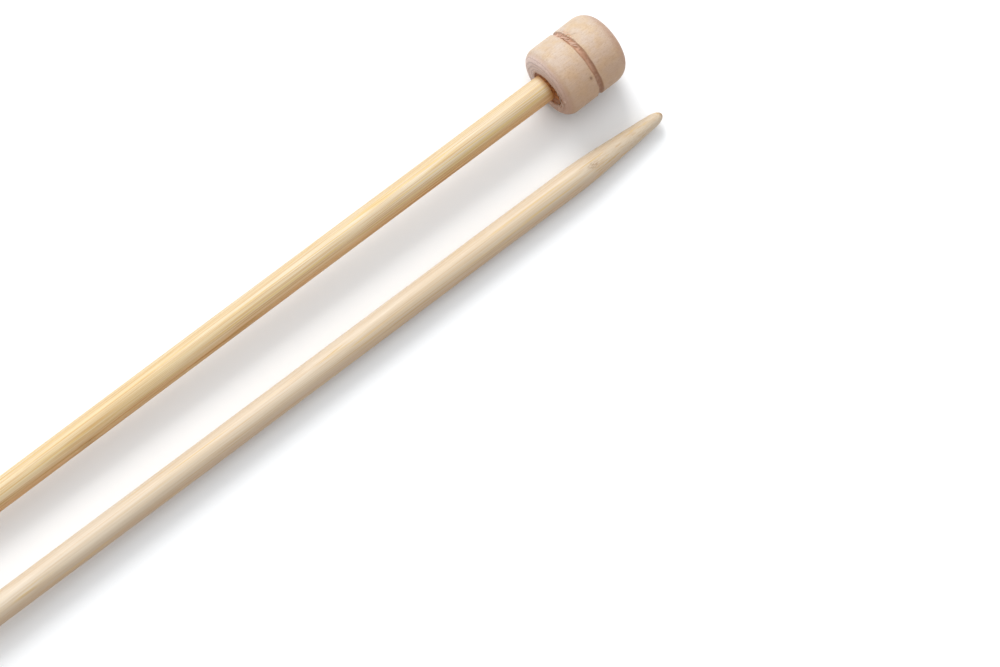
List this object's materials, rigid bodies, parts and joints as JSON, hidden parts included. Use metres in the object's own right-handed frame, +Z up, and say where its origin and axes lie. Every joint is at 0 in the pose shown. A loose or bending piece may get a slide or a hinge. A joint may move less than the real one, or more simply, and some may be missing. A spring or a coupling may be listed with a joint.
{
  "type": "straight knitting needles",
  "caption": "Straight single-pointed wooden knitting needles with tapered tips and turned barrel knobs, lying side by side, head to tail.",
  "frame": {"origin": "on the surface that the needles lie on, under the middle of the pair", "axes": "+X along the needles, towards the first needle's knob; +Y across the pair, towards the first needle; +Z up"},
  "size_m": [0.3304, 0.029, 0.0137],
  "materials": {
    "bamboo_warm": "waxed, semi-gloss, fine amber fibre streaks along the shaft",
    "bamboo_pale": "waxed, semi-gloss, paler, fine fibre streaks along the shaft",
    "knob_wood": "turned and waxed pale hardwood, satin, darker in the groove",
    "wood_glue": "cured amber-brown glue, glossy"
  },
  "bodies": {
    "needle_a": {"shaft_a": "bamboo_warm", "knob_a": "knob_wood", "glue_a": "wood_glue"},
    "needle_b": {"shaft_b": "bamboo_pale", "knob_b": "knob_wood", "glue_b": "wood_glue"}
  },
  "joints": [
    {"name": "needle_b_lift", "type": "slide", "parent": "needle_a", "child": "needle_b", "axis": [0, 0, 1], "range_m": [0, 0.1]}
  ]
}
